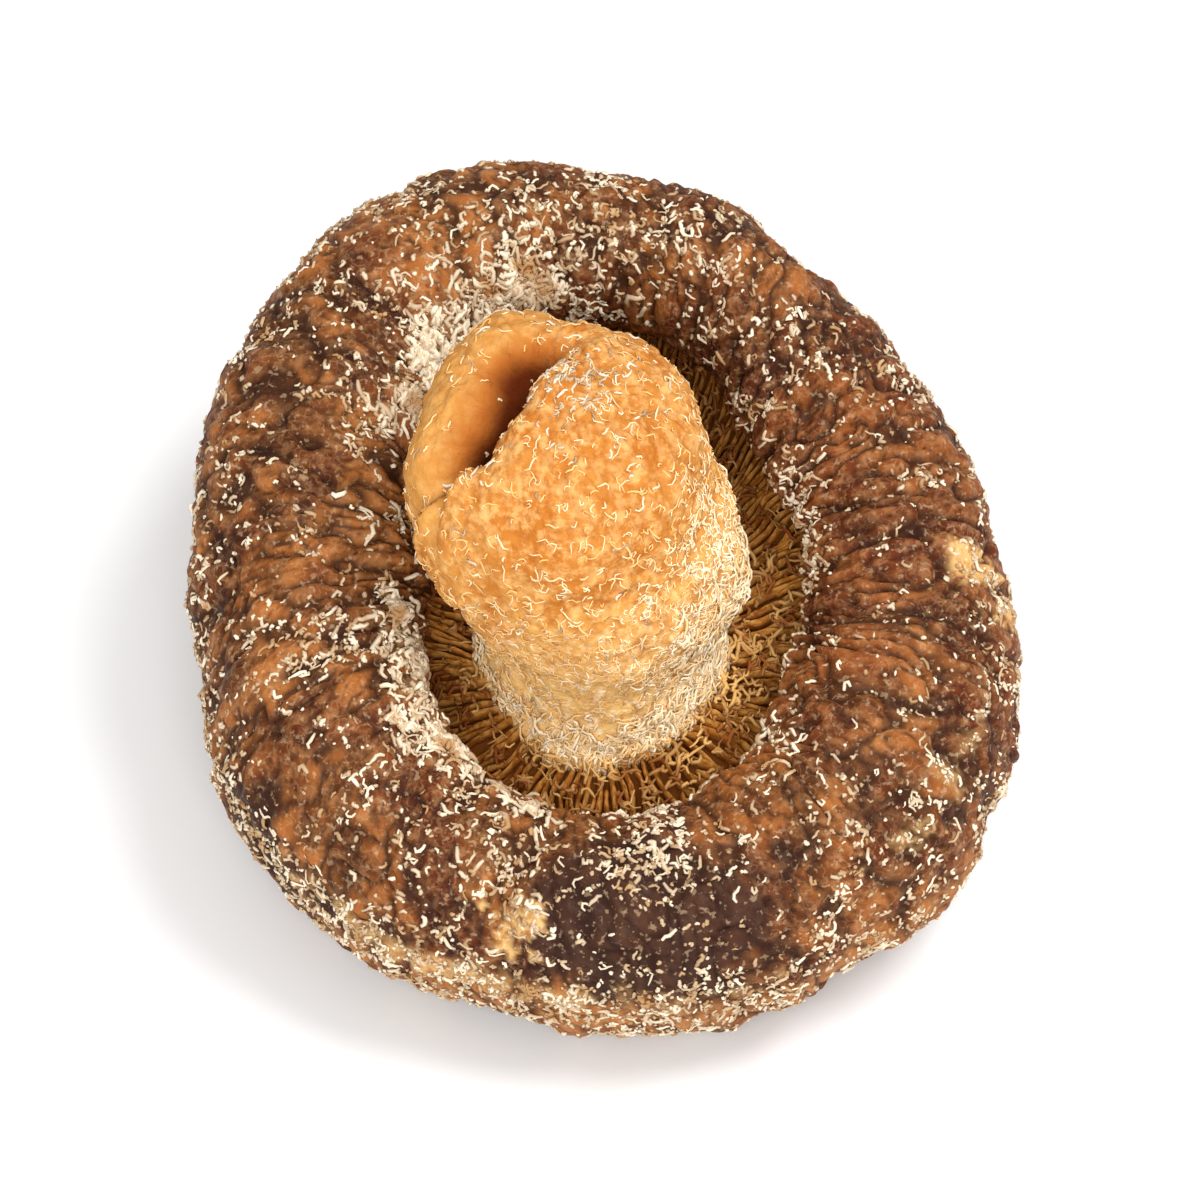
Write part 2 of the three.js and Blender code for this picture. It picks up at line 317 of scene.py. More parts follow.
# The rag of the veil: crumbly pale remains along the lip, to the lower left and behind the stem, and a thin
# pale line on the right of the lip.
VEIL_LEFT_TURN = 222
VEIL_BACK_TURN = 120
VEIL_RIGHT_TURN = 318
veil_left = 1.25 * turn_bump(turning, VEIL_LEFT_TURN, 38) * bump(from_lip, 3.4, 2.1)
veil_back = 1.25 * turn_bump(turning, VEIL_BACK_TURN, 28) * bump(from_lip, 3.2, 2.2)
veil_place = veil_left + veil_back + 0.7 * turn_bump(turning, VEIL_RIGHT_TURN, 52) * bump(from_lip, 1.2, 0.6)
veil = soft_step(0.45, 1.0, veil_place + 0.6 * swells(cap_smooth, 1.2, 46, 3, 0.7))
veil *= soft_step(0.1, 0.4, veil_place)
relief += 0.15 * veil * creases(cap_smooth, 0.85, 47, 0.45)

# The furrows are wherever any of the folds or the pebbles' edges dip, and painted shade darkens them.
valley = np.min([folds + 0.05, fine_folds + 0.2, pebbles + 0.35, hair_lines + 0.3], axis=0)
furrow_shade = soft_step(0.25, 0.85, 1 - valley) * on_skin
cap_skin = cap_smooth + cap_outward * relief[..., None]

# Where the cap lies it is pressed flat. The whole mushroom then takes the place of its solid.
low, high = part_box("dried_shiitake")
resting = as_it_lies(cap_smooth)[..., 2].min() + REST_FLAT_DEPTH
spread = as_it_lies(cap_smooth).reshape(-1, 3)
middle_x = (spread[:, 0].min() + spread[:, 0].max()) / 2
middle_y = (spread[:, 1].min() + spread[:, 1].max()) / 2
MM = 0.001


def in_place(points):
    """Points of the cap's own frame, in millimetres, put where the mushroom lies, in metres."""
    placed = (as_it_lies(points) - [middle_x, middle_y, resting]) * MM
    placed += [(low.x + high.x) / 2, (low.y + high.y) / 2, low.z]
    placed[..., 2] = np.maximum(placed[..., 2], low.z)
    return placed


def make_piece(name, points, faces, corners_uv, marks=None):
    """A mesh piece from its points and list of faces, with its laid-out skin and its material's marks."""
    mesh = bpy.data.meshes.new(name)
    sizes = np.array([len(face) for face in faces])
    corners = np.concatenate(faces)
    mesh.vertices.add(len(points))
    mesh.vertices.foreach_set("co", np.asarray(points, np.float32).reshape(-1))
    mesh.loops.add(len(corners))
    mesh.loops.foreach_set("vertex_index", corners.astype(np.int32))
    mesh.polygons.add(len(sizes))
    mesh.polygons.foreach_set("loop_start", np.concatenate([[0], np.cumsum(sizes)[:-1]]).astype(np.int32))
    mesh.polygons.foreach_set("use_smooth", np.ones(len(sizes), bool))
    mesh.update(calc_edges=True)
    layout = mesh.uv_layers.new(name="OFBake")
    layout.data.foreach_set("uv", np.asarray(corners_uv, np.float32).reshape(-1))
    for mark, values in (marks or {}).items():
        amounts = np.asarray(values, np.float32).reshape(-1)
        mesh.attributes.new(mark, "FLOAT", "POINT").data.foreach_set("value", amounts)
    mesh.validate()
    piece = bpy.data.objects.new(name, mesh)
    bpy.context.scene.collection.objects.link(piece)
    return piece


def wrapped_skin(rows):
    """Points, faces and layout of a closed skin: rows wrapped round, and a fan at each end."""
    count, columns = rows.shape[:2]
    points = np.concatenate([rows.reshape(-1, 3), rows[:1].mean(axis=1), rows[-1:].mean(axis=1)])
    row, column = np.meshgrid(np.arange(count - 1), np.arange(columns), indexing="ij")
    following = (column + 1) % columns
    here, there = row * columns, (row + 1) * columns
    quads = np.stack([here + column, there + column, there + following, here + following], axis=-1)
    u, u_next = column / columns, (column + 1) / columns
    v, v_next = (row + 1) / (count + 1), (row + 2) / (count + 1)
    quads_uv = np.stack([u, v, u, v_next, u_next, v_next, u_next, v], axis=-1).reshape(-1, 2)
    first, last = count * columns, count * columns + 1
    ring = np.arange(columns)
    after = (ring + 1) % columns
    top = np.stack([np.full(columns, first), ring, after], axis=-1)
    last_row = (count - 1) * columns
    foot = np.stack([last_row + after, last_row + ring, np.full(columns, last)], axis=-1)
    edge_v, end_v = 1 / (count + 1), count / (count + 1)
    top_uv = np.stack([(ring + 0.5) / columns, 0 * ring, ring / columns, 0 * ring + edge_v,
                       (ring + 1) / columns, 0 * ring + edge_v], axis=-1).reshape(-1, 2)
    foot_uv = np.stack([(ring + 1) / columns, 0 * ring + end_v, ring / columns, 0 * ring + end_v,
                        (ring + 0.5) / columns, 0 * ring + 1.0], axis=-1).reshape(-1, 2)
    faces = list(quads.reshape(-1, 4)) + list(top) + list(foot)
    return points, faces, np.concatenate([quads_uv, top_uv, foot_uv])


def with_ends(values):
    """A mark's values for a wrapped skin: every row, then the two middles."""
    return np.concatenate([values.reshape(-1), values[:1].mean(axis=1), values[-1:].mean(axis=1)])


# Where the skin's colours lie: broad light and dark tones; dark blotches, most on the back left, with painted
# shade on the inner wall of the mouth at the back right laid in among them; the darkest patches beside the
# pinch, low on the left front and right back, and underneath; amber on the left and along the lower front
# edge; and red on the right.
tone = soft_step(-0.55, 0.5, swells(cap_smooth, 4.5, 53, 3, 0.6))
# The bump at 42 degrees, 4 mm below the lip, is painted shade on the inner wall of the mouth.
blotches_and_shade = swells(cap_smooth, 2.6, 54, 2, 0.6) + 0.7 * turn_bump(turning, 42, 34) * bump(from_lip, 4, 3.5)
blotches_and_shade += 0.6 * turn_bump(turning, 150, 24) * bump(from_lip, 8, 5)
blotches_and_shade = soft_step(0.05, 0.6, blotches_and_shade)
dark_patch = (2.0 * turn_bump(turning, 276, 17) * bump(from_lip, CREST_AT + 3, 6)
              + 1.1 * turn_bump(turning, 222, 24) * bump(from_lip, WIDEST_AT - 1, 4)
              + 0.9 * turn_bump(turning, 60, 20) * bump(from_lip, WIDEST_AT - 1, 4)
              + 1.2 * soft_step(0.0, 0.5, swells(cap_smooth, 12, 51)) * on_crown)
dark_patch = soft_step(0.35, 0.95, dark_patch + 0.45 * swells(cap_smooth, 2.4, 55, 2))
amber = (0.8 * turn_bump(turning, 172, 26) * bump(from_lip, 4.5, 3.5)
         + soft_step(0.2, 0.6, swells(cap_smooth, 13, 52)) * (0.3 + 0.8 * on_crown))
amber += 1.1 * turn_bump(turning, 265, 75) * bump(from_lip, WIDEST_AT + 0.2, 2.2)
amber = soft_step(0.35, 0.95, amber + 0.4 * swells(cap_smooth, 2.8, 56, 2))
reddish = soft_step(0.2, 0.8, turn_bump(turning, 10, 60) + 0.6 * swells(cap_smooth, 6, 57, 2))
points, faces, layout = wrapped_skin(in_place(cap_skin))
cap = make_piece("cap", points, faces, layout, {
    "furrow_shade": with_ends(furrow_shade), "bare": with_ends(bare), "veil": with_ends(veil), "tone": with_ends(tone),
    "blotches_and_shade": with_ends(blotches_and_shade), "dark_patch": with_ends(dark_patch), "amber": with_ends(amber),
    "reddish": with_ends(reddish), "underneath": with_ends(soft_step(0.4, -2.2, from_lip)),
})


def paint(code):
    """An sRGB hex colour as the linear colour that a shader takes."""
    shades = [int(code[i:i + 2], 16) / 255 for i in (1, 3, 5)]
    return (*[s / 12.92 if s <= 0.04045 else ((s + 0.055) / 1.055) ** 2.4 for s in shades], 1)


def add_node(tree, kind, sockets=None, **settings):
    """Adds a node, sets its options, and fills its sockets with values or other nodes' outputs."""
    made = tree.nodes.new(kind)
    for option, value in settings.items():
        setattr(made, option, value)
    for socket, value in (sockets or {}).items():
        if isinstance(value, bpy.types.NodeSocket):
            tree.links.new(value, made.inputs[socket])
        else:
            made.inputs[socket].default_value = value
    return made


def new_finish(name):
    """An empty material with its surface shader, and the place of each point in millimetres."""
    material = bpy.data.materials.new(name)
    material.use_nodes = True
    tree = material.node_tree
    surface = tree.nodes["Principled BSDF"]
    place = add_node(tree, "ShaderNodeTexCoord")
    millimetres = add_node(tree, "ShaderNodeVectorMath", {0: place.outputs["Object"], 1: (1000, 1000, 1000)},
                           operation="MULTIPLY")
    return material, tree, surface, millimetres.outputs[0]


def mottle(tree, place, size, low, high, detail=3.0, roughness=0.55):
    """Soft random patches `size` mm across: 0 where the noise is under `low`, 1 where over `high`."""
    settings = {"Vector": place, "Scale": 1 / size, "Detail": detail, "Roughness": roughness}
    noise = add_node(tree, "ShaderNodeTexNoise", settings)
    return add_node(tree, "ShaderNodeMapRange", {0: noise.outputs[0], 1: low, 2: high},
                    interpolation_type="SMOOTHSTEP").outputs[0]


def coat(tree, under, over, *where):
    """Paint `over` laid on `under` where all the given places agree. A paint is a colour code or a node's
    output; a place is an amount from 0 to 1, the name of a mark on the mesh, or a node's output."""
    amount = None
    for place in where:
        if isinstance(place, str):
            place = add_node(tree, "ShaderNodeAttribute", attribute_name=place).outputs["Fac"]
        if amount is not None:
            place = add_node(tree, "ShaderNodeMath", {0: amount, 1: place}, operation="MULTIPLY").outputs[0]
        amount = place
    under, over = (paint(coating) if isinstance(coating, str) else coating for coating in (under, over))
    return add_node(tree, "ShaderNodeMix", {0: amount, 6: under, 7: over}, data_type="RGBA").outputs[2]


def fine_grain(tree, surface, place, size, strength, depth):
    """Tiny bumps over a surface, `size` mm apart and `depth` mm high."""
    grain = add_node(tree, "ShaderNodeTexNoise", {"Vector": place, "Scale": 1 / size, "Detail": 2.0})
    bumps = add_node(tree, "ShaderNodeBump", {"Height": grain.outputs[0], "Strength": strength,
                                              "Distance": depth * MM})
    tree.links.new(bumps.outputs[0], surface.inputs["Normal"])


# Shrunken leathery skin: warm brown, with painted shade that makes the furrows nearly black and darkens the
# inner wall of the mouth at the back right, amber and purple-brown patches, thin pale threads and specks, a
# faint satin gloss on the raised cushions, and crumbly cream where the veil or the skin has torn.
def leathery_skin():
    material, tree, surface, place = new_finish("dried_leathery_cap_skin")
    fine = mottle(tree, place, 0.8, 0.42, 0.66, 3.0, 0.7)
    specks = mottle(tree, place, 0.42, 0.58, 0.68, 2.0)
    lines = add_node(tree, "ShaderNodeTexNoise", {"Vector": place, "Scale": 1 / 0.9, "Detail": 1.0})
    on_line = add_node(tree, "ShaderNodeMath", {0: lines.outputs[0], 1: 0.5, 2: 0.022}, operation="COMPARE")
    brown = coat(tree, "#5A2709", "#A25F28", "tone")
    # Dark blotches, and painted shade on the mouth's inner wall at the back right.
    brown = coat(tree, brown, "#3C1903", "blotches_and_shade", 0.7)
    brown = coat(tree, brown, "#66290E", "reddish", 0.45)
    brown = coat(tree, brown, "#A5662F", "amber")
    brown = coat(tree, brown, "#BC8450", fine, 0.34)
    brown = coat(tree, brown, "#C79A70", on_line.outputs[0], 0.16)
    brown = coat(tree, brown, "#341D16", "dark_patch", 0.9)
    # Painted shade: the furrows darkened nearly to black.
    brown = coat(tree, brown, "#260D02", "furrow_shade", 0.9)
    flesh = coat(tree, "#D9AE70", "#A8713A", fine)
    brown = coat(tree, brown, coat(tree, flesh, "#EFDDBB", specks), "bare")
    rag = coat(tree, coat(tree, "#5A3216", "#C09A68", fine), "#E6D2A8", specks)
    brown = coat(tree, brown, rag, "veil", 0.32)
    brown = coat(tree, brown, "#CDAE88", specks, 0.3)
    final = coat(tree, brown, "#824A13", "underneath")
    tree.links.new(final, surface.inputs["Base Color"])
    gloss = add_node(tree, "ShaderNodeMapRange", {0: fine, 3: 0.74, 4: 0.52})
    tree.links.new(gloss.outputs[0], surface.inputs["Roughness"])
    surface.inputs["Specular IOR Level"].default_value = 0.17
    fine_grain(tree, surface, place, 0.35, 0.6, 0.16)
    return material


cap.data.materials.append(leathery_skin())
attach(cap, "root")
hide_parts("dried_shiitake")

# ---------------------------------------------------------------------------------------------
# The stem. One fibrous stalk, fixed in the middle of the gills, that leans back and thickens towards
# its end. As it dried the end folded over itself, which left a brown hollow beside a smooth lobe and
# a sharp crease that runs down to a small beak on the left.
STEM_LENGTH = 17.0
STEM_FOOT = np.array([0.0, -3.4, -1.2])
STEM_FOOT_RADIUS = 6.6
STEM_FOOT_FLARE = 0.9
STEM_FOOT_DEPTH = 2.2
STEM_MIDDLE_HALF_WIDTH = 8.7
STEM_END_HALF_WIDTH = 8.4
STEM_END_HALF_DEPTH = 8.6
STEM_LEAN_BACK = 19
STEM_LEAN_LEFT = 8
STEM_END_CROWN = 6.2
STEM_END_SLOPE_X = -0.08
STEM_END_SLOPE_Y = 0.2
STEM_BEAK = 0.25
STEM_WAIST = 0.12
STEM_BULGE = 0.15
STEM_BACK_LOBE = 0.13
STEM_BEAK_ANGLE = 210
HOLLOW_LINE = np.array([[-0.2, 5.0], [-1.5, 2.6], [-2.7, -0.6], [-4.8, -3.3]])
HOLLOW_DEPTH = 3.6
TUCK_DEPTH = 1.0
FOLD_EDGE_HEIGHT = 0.35
WOOL_SIZE = 0.85
CREASE_LINE = np.array([[-3.2, -2.4], [-4.8, -4.0], [-6.2, -4.6], [-7.6, -4.9], [-11.0, -5.2]])

STEM_COLUMNS = 304
END_ROWS = 54
SHANK_ROWS = 72
FOOT_ROWS = 8
stem_around = np.linspace(0, 2 * np.pi, STEM_COLUMNS, endpoint=False)

lean_back, lean_left = np.radians(STEM_LEAN_BACK), np.radians(STEM_LEAN_LEFT)
stem_line = np.array([-np.sin(lean_left), np.sin(lean_back), np.cos(lean_back)])
stem_line /= np.linalg.norm(stem_line)


def stem_section(share):
    """The middle of the stem's section, and the turn that lays the section square to the stem."""
    pivot = np.cross([0, 0, 1], stem_line)
    turn = np.arcsin(np.linalg.norm(pivot)) * min(1, max(0, share) * 1.6)
    pivot /= np.linalg.norm(pivot)
    cross = np.array([[0, -pivot[2], pivot[1]], [pivot[2], 0, -pivot[0]], [-pivot[1], pivot[0], 0]])
    square = np.eye(3) + np.sin(turn) * cross + (1 - np.cos(turn)) * cross @ cross
    return STEM_FOOT + share * STEM_LENGTH * stem_line, square


def stem_radius(angle, share):
    widening = soft_step(-0.1, 0.65, share)
    flare = STEM_FOOT_FLARE * np.exp(-max(share, 0) * 9)
    half_width = STEM_FOOT_RADIUS + (STEM_MIDDLE_HALF_WIDTH - STEM_FOOT_RADIUS) * widening + flare
    half_width -= (STEM_MIDDLE_HALF_WIDTH - STEM_END_HALF_WIDTH) * soft_step(0.6, 1, share)
    half_depth = STEM_FOOT_RADIUS + (STEM_END_HALF_DEPTH - STEM_FOOT_RADIUS) * widening + flare
    beak = STEM_BEAK * bump(share, 0.9, 0.32) * np.maximum(0, lobe(angle, 1, STEM_BEAK_ANGLE)) ** 7
    waist = STEM_WAIST * bump(share, 0.4, 0.24) * np.maximum(0, lobe(angle, 1, 190)) ** 2
    bulge = STEM_BULGE * bump(share, 0.4, 0.24) * np.maximum(0, lobe(angle, 1, 345)) ** 2
    bulge = bulge + STEM_BACK_LOBE * soft_step(0.5, 1, share) * np.maximum(0, lobe(angle, 1, 112)) ** 3
    uneven = 0.03 * lobe(angle, 3, 20) + 0.02 * lobe(angle, 5, 50 + 60 * share)
    return oval_radius(half_width, half_depth, angle) * (1 + beak + bulge - waist + uneven)


def beside_line(x, y, line):
    """Distance from a bent line, and on which side: positive to the left of its direction."""
    nearest = np.full(np.shape(x), 1e9)
    side = np.zeros(np.shape(x))
    for start, end in zip(line[:-1], line[1:]):
        run = end - start
        share = np.clip(((x - start[0]) * run[0] + (y - start[1]) * run[1]) / (run @ run), 0, 1)
        off_x, off_y = x - start[0] - share * run[0], y - start[1] - share * run[1]
        away = np.hypot(off_x, off_y)
        closer = away < nearest
        nearest = np.where(closer, away, nearest)
        side = np.where(closer, np.sign(run[0] * off_y - run[1] * off_x), side)
    return nearest, side


def stem_rows():
    """The smooth stem from the middle of its end to its foot below the gills, and each point's place."""
    rows, places = [], []
    shank = np.linspace(1, 0, SHANK_ROWS)
    below_gills = np.linspace(-0.02, -STEM_FOOT_DEPTH / STEM_LENGTH, FOOT_ROWS)
    middle, square = stem_section(1.0)
    for share in np.linspace(0.02, 1, END_ROWS, endpoint=False):
        radius = stem_radius(stem_around, 1.0) * share
        x, y = radius * np.cos(stem_around), radius * np.sin(stem_around)
        cushion = STEM_END_CROWN * (1 - share**2.2) ** 0.6
        height = STEM_END_SLOPE_X * x + STEM_END_SLOPE_Y * y + cushion
        rows.append(np.stack([x, y, height], -1) @ square.T + middle)
        places.append(np.stack([x, y, np.full_like(x, share)], -1))
    for share in np.concatenate([shank, below_gills]):
        middle, square = stem_section(share)
        radius = stem_radius(stem_around, share)
        x, y = radius * np.cos(stem_around), radius * np.sin(stem_around)
        slope = (STEM_END_SLOPE_X * x + STEM_END_SLOPE_Y * y) * max(share, 0) ** 2
        rows.append(np.stack([x, y, slope], -1) @ square.T + middle)
        places.append(np.stack([x, y, np.full_like(x, 2 - share)], -1))
    return np.array(rows), np.array(places)


# Its marks: the hollow with the smooth lobe on its left, and the crease, along which the skin on one side
# is tucked under the folded edge of the other.
stem_smooth, stem_places = stem_rows()
stem_outward, _, _ = facing(stem_smooth)
end_x, end_y, down_stem = np.moveaxis(stem_places, -1, 0)
wander = 0.35 * swell(stem_smooth, 1.6, 61)
from_hollow, hollow_side = beside_line(end_x + wander, end_y, HOLLOW_LINE)
from_crease, crease_side = beside_line(end_x + 0.5 * wander, end_y + 0.5 * wander, CREASE_LINE)
on_end = 1 - soft_step(1.05, 1.3, down_stem)
lobe_side = soft_step(-0.3, 0.3, from_hollow * -hollow_side)
wall_width = 1.15 + 0.9 * soft_step(-1, 4, end_y) + 1.5 * lobe_side
hollow = np.exp(-((from_hollow / wall_width) ** 2)) * (1 - soft_step(0.86, 1.02, down_stem))
hollow = hollow * (1 - 0.8 * soft_step(2.2, 6.2, end_y))
tucked = soft_step(-0.1, 0.1, from_crease * -crease_side) * np.exp(-((from_crease / 2.4) ** 2)) * on_end
crease_edge = np.exp(-((from_crease / 0.4) ** 2)) * on_end * (crease_side > 0)
# A line of painted shade just inside the crease, on the tucked side.
crease_shade_line = np.exp(-(((from_crease * -crease_side - 0.2) / 0.26) ** 2)) * on_end
smooth_lobe = soft_step(0, 2.0, from_hollow * lobe_side) * (1 - soft_step(0.98, 1.12, down_stem))
rough = 1 - 0.35 * smooth_lobe
stem_relief = 0.38 * swells(stem_smooth, 4.2, 62, 2) + rough * 0.2 * swells(stem_smooth, 1.5, 63, 2)
woolly = creases(stem_smooth + 0.25 * swell(stem_smooth, 0.9, 66)[..., None], WOOL_SIZE, 64, 0.4)
stem_relief = stem_relief + rough * 0.2 * woolly + 0.1 * swells(stem_smooth, 0.9, 67, 2)
stem_relief = stem_relief - HOLLOW_DEPTH * hollow - TUCK_DEPTH * tucked + FOLD_EDGE_HEIGHT * crease_edge
stem_skin = stem_smooth + stem_outward * stem_relief[..., None]

# Towards the foot the stem is painted paler, partly its own colour and partly painted light where the rim
# shades the foot.
pale_lit_foot = soft_step(1.15, 2.0, down_stem)
points, faces, layout = wrapped_skin(in_place(stem_skin))
stem = make_piece("stem", points, faces, layout, {
    "hollow": with_ends(soft_step(0.1, 0.55, hollow)),
    "hollow_bottom_shade": with_ends(soft_step(0.4, 0.85, hollow)),
    "end": with_ends(1 - soft_step(0.8, 1.5, down_stem)),
    "pale_lit_foot": with_ends(pale_lit_foot), "crease": with_ends(crease_shade_line),
    "smooth_lobe": with_ends(smooth_lobe), "pit_shade": with_ends((1 - woolly) * rough * (1 - 0.7 * pale_lit_foot)),
    "tone": with_ends(soft_step(-0.6, 0.6, swells(stem_smooth, 2.8, 65, 2))),
})


# Dried stem: golden tan fibres with painted shade in the small pits between them, darker orange at the end,
# deep brown in the hollow with painted shade nearly black at its bottom, a line of painted shade along the
# crease, and paler towards the foot, partly its own colour and partly painted light where the rim shades the
# foot. It is dull, with almost no gloss of its own.
def fibrous_stem():
    material, tree, surface, place = new_finish("dried_fibrous_stem")
    fine = mottle(tree, place, 0.9, 0.4, 0.64, 3.0, 0.7)
    specks = mottle(tree, place, 0.45, 0.5, 0.66, 2.0)
    tan = coat(tree, "#C67E32", "#E2A554", "tone")
    tan = coat(tree, tan, "#B4661F", "end", 0.64)
    tan = coat(tree, tan, "#F2C680", fine, 0.55)
    tan = coat(tree, tan, "#D79C50", "smooth_lobe", 0.65)
    # Paler towards the foot: partly its own colour, partly painted light where the rim shades the foot.
    tan = coat(tree, tan, "#FFD68A", "pale_lit_foot", 0.85)
    tan = coat(tree, tan, "#FDEBC6", "pale_lit_foot", specks)
    # Painted shade in the pits between the fibres.
    tan = coat(tree, tan, "#A85C1C", "pit_shade", 0.55)
    tan = coat(tree, tan, "#A8581A", "hollow", 0.85)
    # Painted shade: the bottom of the hollow nearly black.
    tan = coat(tree, tan, "#521D00", "hollow_bottom_shade")
    # Painted shade along the crease.
    final = coat(tree, tan, "#5A260C", "crease", 0.85)
    tree.links.new(final, surface.inputs["Base Color"])
    surface.inputs["Roughness"].default_value = 0.9
    surface.inputs["Specular IOR Level"].default_value = 0.12
    fine_grain(tree, surface, place, 0.4, 0.8, 0.2)
    return material


stem.data.materials.append(fibrous_stem())
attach(stem, "root")

# ---------------------------------------------------------------------------------------------
# The gills. Thin blades of ochre flesh that stand on the floor of the mouth and run from the stem's
# foot to under the rolled rim, with short ones between. Drying has crumpled and frayed their edges.
GILL_COUNT = 96
GILL_BLADE_HEIGHT = 1.25
GILL_BLADE_THICKNESS = 0.34
GILL_STEPS = 22
rng = np.random.default_rng(7)


def gill_blades():
    """Every blade as a row of five-sided sections, from the stem side to the rim side."""
    blades = []
    for number in range(2 * GILL_COUNT):
        short = number % 2 == 1
        angle = np.array([2 * np.pi * (number + 0.35 * rng.uniform(-1, 1)) / (2 * GILL_COUNT)])
        outwards = np.array([np.cos(angle[0]), np.sin(angle[0])])
        start = STEM_FOOT[:2] + (stem_radius(angle, 0.0)[0] - 1.0) * outwards
        edge = roll_points(angle, 180 + ROLL_TUCK - 12)[0]
        if short:
            start = start + (edge[:2] - start) * rng.uniform(0.25, 0.6)
        share = np.linspace(0, 1, GILL_STEPS)
        line = start + (edge[:2] - start) * share[:, None]
        along = (edge[:2] - start) / np.linalg.norm(edge[:2] - start)
        sideways = np.array([-along[1], along[0]])
        level = np.concatenate([line, np.full((GILL_STEPS, 1), number * 0.37)], axis=1)
        sway = 0.55 * swell(level * [1, 1, 3], 2.6, 71) * np.sin(np.pi * np.clip(share * 1.1, 0, 1))
        height = GILL_BLADE_HEIGHT * (0.72 + 0.28 * soft_step(0, 0.3, share))
        height = height + 0.35 * swells(level, 1.1, 72, 2)
        tilt = 0.5 * swell(level, 3.0, 73)
        half = GILL_BLADE_THICKNESS / 2 * (1 + 0.3 * swell(level, 0.9, 74))
        for across, up in ((-1.5, -0.35), (-0.9, 0.55), (0.0, 1.0), (0.9, 0.55), (1.5, -0.35)):
            shift = sway + across * half + tilt * max(up, 0) * height
            blades.append(np.concatenate([line + sideways * shift[:, None],
                                          (GILL_HEIGHT + 0.25 + up * height)[:, None]], axis=1))
    return np.array(blades).reshape(2 * GILL_COUNT, 5, GILL_STEPS, 3).transpose(0, 2, 1, 3)


def strand_faces(count, steps, sides):
    """Faces and layout of `count` separate strands of `steps` sections with `sides` corners each."""
    step, side = np.meshgrid(np.arange(steps - 1), np.arange(sides), indexing="ij")
    following = (side + 1) % sides
    wall = np.stack([step * sides + side, step * sides + following, (step + 1) * sides + following,
                     (step + 1) * sides + side], axis=-1).reshape(-1, 4)
    u, u_next, v, v_next = step / (steps - 1), (step + 1) / (steps - 1), side / sides, (side + 1) / sides
    wall_uv = np.stack([u, v, u, v_next, u_next, v_next, u_next, v], axis=-1).reshape(-1, 4, 2)
    ring = np.arange(sides)
    start, end = ring[::-1], ring + (steps - 1) * sides
    turn = 2 * np.pi * ring / sides
    cap_uv = np.stack([0.02 + 0.015 * np.cos(turn), 0.5 + 0.4 * np.sin(turn)], axis=-1)
    cells = int(np.ceil(np.sqrt(count)))
    number = np.arange(count)
    origin = np.stack([number % cells, number // cells], axis=-1) / cells
    shift = number[:, None, None] * steps * sides
    all_walls = (wall[None] + shift).reshape(-1, 4)
    walls_uv = (origin[:, None, None] + 0.9 * wall_uv[None] / cells).reshape(-1, 2)
    starts, ends = start[None] + shift[:, 0], end[None] + shift[:, 0]
    starts_uv = (origin[:, None] + 0.9 * cap_uv[None, ::-1] / cells).reshape(-1, 2)
    ends_uv = (origin[:, None] + 0.9 * (cap_uv[None] + [0.94, 0]) / cells).reshape(-1, 2)
    faces = list(all_walls) + list(starts) + list(ends)
    return faces, np.concatenate([walls_uv, starts_uv, ends_uv])


blades = gill_blades()
faces, layout = strand_faces(len(blades), GILL_STEPS, 5)
blade_top = np.broadcast_to(np.array([0, 0.6, 1, 0.6, 0]), blades.shape[:3])
gills = make_piece("gills", in_place(blades).reshape(-1, 3), faces, layout, {"top": blade_top})


# Dried gills: crumbly ochre flesh, paler along the frayed edges and brown down between the blades.
def crumbly_gills():
    material, tree, surface, place = new_finish("dried_crumbly_gills")
    fine = mottle(tree, place, 0.6, 0.4, 0.62)
    ochre = coat(tree, "#85480F", "#B06E24", mottle(tree, place, 1.8, 0.35, 0.65, 2.0))
    ochre = coat(tree, "#935512", ochre, "top")
    ochre = coat(tree, ochre, "#CE9448", "top", fine)
    tree.links.new(ochre, surface.inputs["Base Color"])
    surface.inputs["Roughness"].default_value = 0.85
    surface.inputs["Specular IOR Level"].default_value = 0.2
    fine_grain(tree, surface, place, 0.3, 0.7, 0.15)
    return material


gills.data.materials.append(crumbly_gills())
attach(gills, "root")

# ---------------------------------------------------------------------------------------------
# The torn outer skin. As the cap swelled and then dried, its thin pale outer skin tore into thousands of
# tiny curled threads and crumbs, which lie scattered on the brown skin, thickest where the veil broke.
# The finest real threads are left out, and the others are drawn from about 0.1 to 0.4 mm thick.


